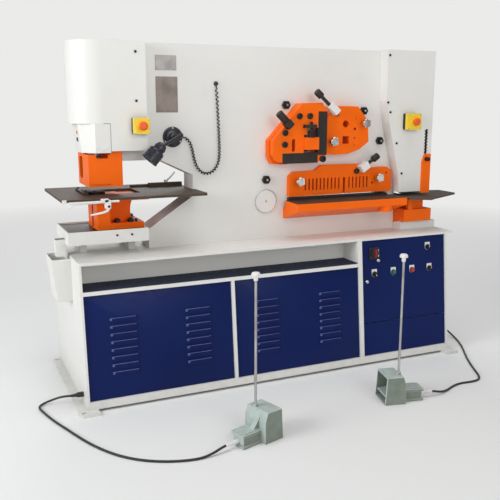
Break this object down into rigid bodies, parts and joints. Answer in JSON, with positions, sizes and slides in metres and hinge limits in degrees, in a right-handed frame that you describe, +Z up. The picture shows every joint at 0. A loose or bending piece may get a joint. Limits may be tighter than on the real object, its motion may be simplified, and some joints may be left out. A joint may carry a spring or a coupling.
{
  "type": "hydraulic ironworker",
  "caption": "Hydraulic ironworker on a cabinet base: punching throat at the left, angle, bar and flat shears in the middle, notcher at the right, foot pedals on cords.",
  "frame": {"origin": "on the floor in the middle of the four anchor slots of the base", "axes": "+X along the machine from the punching end to the notching end, -Y towards the operator, +Z up"},
  "size_m": [2.3388, 1.3287, 1.601],
  "materials": {
    "white_paint": "satin",
    "navy_paint": "satin",
    "orange_paint": "satin",
    "tool_steel": "ground",
    "dark_steel": "blackened",
    "black_rubber": "matte",
    "black_plastic": "matte",
    "chrome": "polished",
    "pedal_paint": "hammered",
    "yellow_plastic": "gloss",
    "red_plastic": "gloss",
    "green_plastic": "gloss"
  },
  "bodies": {
    "machine": {"deck": "white_paint", "end_frames": "white_paint", "base_frame": "white_paint", "shelf_mat": "black_rubber", "door_left": "navy_paint", "door_middle": "navy_paint", "control_panel": "navy_paint", "control_bezels": "chrome", "slug_box": "white_paint", "cable_glands": "black_plastic", "frame_plate_front": "white_paint", "frame_plate_rear": "white_paint", "frame_spacers": "white_paint", "tower_cover": "white_paint", "nose_cover": "white_paint", "notch_cover": "white_paint", "punch_cylinder": "tool_steel", "die": "tool_steel", "pedestal": "orange_paint", "tray": "white_paint", "punch_table": "tool_steel", "table_fence": "tool_steel", "stripper": "orange_paint", "angle_shear_plate": "orange_paint", "fixed_blades": "dark_steel", "bar_shear_plate": "orange_paint", "flat_hold_down": "orange_paint", "shear_table": "orange_paint", "notch_table": "tool_steel", "notch_block": "orange_paint", "estop_boxes": "yellow_plastic", "lamp_base": "black_plastic", "lamp_coil": "black_rubber", "floor_cord_left": "black_rubber", "floor_cord_right": "black_rubber", "pedal_housings": "pedal_paint"},
    "punch": {"punch_ram": "tool_steel"},
    "beam": {"shear_beam": "tool_steel"},
    "start": {"start_button": "green_plastic"},
    "stop": {"stop_button": "red_plastic"},
    "selector_upper": {"selector_top": "black_plastic"},
    "selector_first": {"selector_left": "black_plastic"},
    "selector_second": {"selector_right": "black_plastic"},
    "switch": {"main_switch": "red_plastic"},
    "emergency_left": {"estop_left": "red_plastic"},
    "emergency_right": {"estop_right": "red_plastic"},
    "jaw": {"angle_hold_down": "orange_paint"},
    "knurled_knob": {"angle_knob": "black_plastic"},
    "bar_clamp_screw": {"bar_clamp": "black_plastic"},
    "flat_clamp_screw": {"flat_clamp": "black_plastic"},
    "knob_bar_right": {"star_knob_bar_right": "chrome"},
    "knob_bar_left": {"star_knob_bar_left": "chrome"},
    "knob_flat_left": {"star_knob_flat_left": "chrome"},
    "knob_flat_right": {"star_knob_flat_right": "chrome"},
    "guard": {"notch_guard": "orange_paint"},
    "lamp": {"lamp_arm": "black_plastic"},
    "gauge_lever": {"table_lever": "white_paint"},
    "fence_handle": {"fence_lever": "chrome"},
    "pedal_left": {"treadle_1": "pedal_paint"},
    "pedal_right": {"treadle_2": "pedal_paint"}
  },
  "joints": [
    {"name": "punch_stroke", "type": "slide", "parent": "machine", "child": "punch", "axis": [0, 0, -1], "range_m": [0, 0.04]},
    {"name": "beam_swing", "type": "hinge", "parent": "machine", "child": "beam", "pos_m": [0.006, 0.006, 0.846], "axis": [0, 1, 0], "range_deg": [0, 2.4]},
    {"name": "start_press", "type": "slide", "parent": "machine", "child": "start", "axis": [0, 0.995, -0.0995], "range_m": [0, 0.004], "stiffness_N_per_m": 300},
    {"name": "stop_press", "type": "slide", "parent": "machine", "child": "stop", "axis": [0, 0.995, -0.0995], "range_m": [0, 0.004], "stiffness_N_per_m": 300},
    {"name": "selector_upper_turn", "type": "hinge", "parent": "machine", "child": "selector_upper", "pos_m": [0.85809, -0.27841, 0.58147], "axis": [0, -0.995, 0.0995], "range_deg": [-60, 0]},
    {"name": "selector_first_turn", "type": "hinge", "parent": "machine", "child": "selector_first", "pos_m": [0.521, -0.28985, 0.46704], "axis": [0, -0.995, 0.0995], "range_deg": [-60, 0]},
    {"name": "selector_second_turn", "type": "hinge", "parent": "machine", "child": "selector_second", "pos_m": [0.86799, -0.28985, 0.46704], "axis": [0, -0.995, 0.0995], "range_deg": [-60, 0]},
    {"name": "main_switch_turn", "type": "hinge", "parent": "machine", "child": "switch", "pos_m": [0.51996, -0.279, 0.5755], "axis": [0, -0.995, 0.0995], "range_deg": [-90, 0]},
    {"name": "emergency_left_press", "type": "slide", "parent": "machine", "child": "emergency_left", "axis": [0, 1, 0], "range_m": [0, 0.005]},
    {"name": "emergency_right_press", "type": "slide", "parent": "machine", "child": "emergency_right", "axis": [0, 1, 0], "range_m": [0, 0.005]},
    {"name": "jaw_screw_feed", "type": "slide", "parent": "machine", "child": "jaw", "axis": [0, 0, 1], "range_m": [-0.012, 0.012]},
    {"name": "knurled_knob_turn", "type": "hinge", "parent": "machine", "child": "knurled_knob", "pos_m": [0.066, -0.161, 1.246], "axis": [-0.7071, 0, 0.7071], "continuous": true},
    {"name": "bar_clamp_turn", "type": "hinge", "parent": "machine", "child": "bar_clamp_screw", "pos_m": [0.32, -0.1395, 1.323], "axis": [-0.7532, 0, 0.6578], "continuous": true},
    {"name": "flat_clamp_turn", "type": "hinge", "parent": "machine", "child": "flat_clamp_screw", "pos_m": [0.578, -0.1055, 1.018], "axis": [0.8356, 0, 0.5494], "continuous": true},
    {"name": "knob_bar_right_turn", "type": "hinge", "parent": "machine", "child": "knob_bar_right", "pos_m": [0.529, -0.119, 1.23], "axis": [0, 1, 0], "continuous": true},
    {"name": "knob_bar_left_turn", "type": "hinge", "parent": "machine", "child": "knob_bar_left", "pos_m": [0.343, -0.119, 1.141], "axis": [0, 1, 0], "continuous": true},
    {"name": "knob_flat_left_turn", "type": "hinge", "parent": "machine", "child": "knob_flat_left", "pos_m": [0.172, -0.085, 0.943], "axis": [0, 1, 0], "continuous": true},
    {"name": "knob_flat_right_turn", "type": "hinge", "parent": "machine", "child": "knob_flat_right", "pos_m": [0.646, -0.085, 0.944], "axis": [0, 1, 0], "continuous": true},
    {"name": "guard_slide", "type": "slide", "parent": "machine", "child": "guard", "axis": [0, 0, 1], "range_m": [0, 0.15]},
    {"name": "lamp_swing", "type": "hinge", "parent": "machine", "child": "lamp", "pos_m": [-0.476, -0.073, 1.175], "axis": [0, 1, 0], "range_deg": [-60, 5]},
    {"name": "gauge_lever_turn", "type": "hinge", "parent": "machine", "child": "gauge_lever", "pos_m": [-0.833, -0.244, 0.892], "axis": [0, 1, 0], "range_deg": [-60, 30]},
    {"name": "fence_handle_turn", "type": "hinge", "parent": "machine", "child": "fence_handle", "pos_m": [-0.459, 0.116, 0.946], "axis": [0, 0, 1], "range_deg": [-60, 90]},
    {"name": "pedal_left_press", "type": "hinge", "parent": "machine", "child": "pedal_left", "pos_m": [-0.40343, -0.85953, 0.048], "axis": [-0.2924, 0.9563, 0], "range_deg": [0, 12], "stiffness_Nm_per_rad": 12, "springref_deg": -8.59},
    {"name": "pedal_right_press", "type": "hinge", "parent": "machine", "child": "pedal_right", "pos_m": [0.34908, -0.7641, 0.048], "axis": [-0.225, -0.9744, 0], "range_deg": [0, 12], "stiffness_Nm_per_rad": 12, "springref_deg": -8.59}
  ]
}
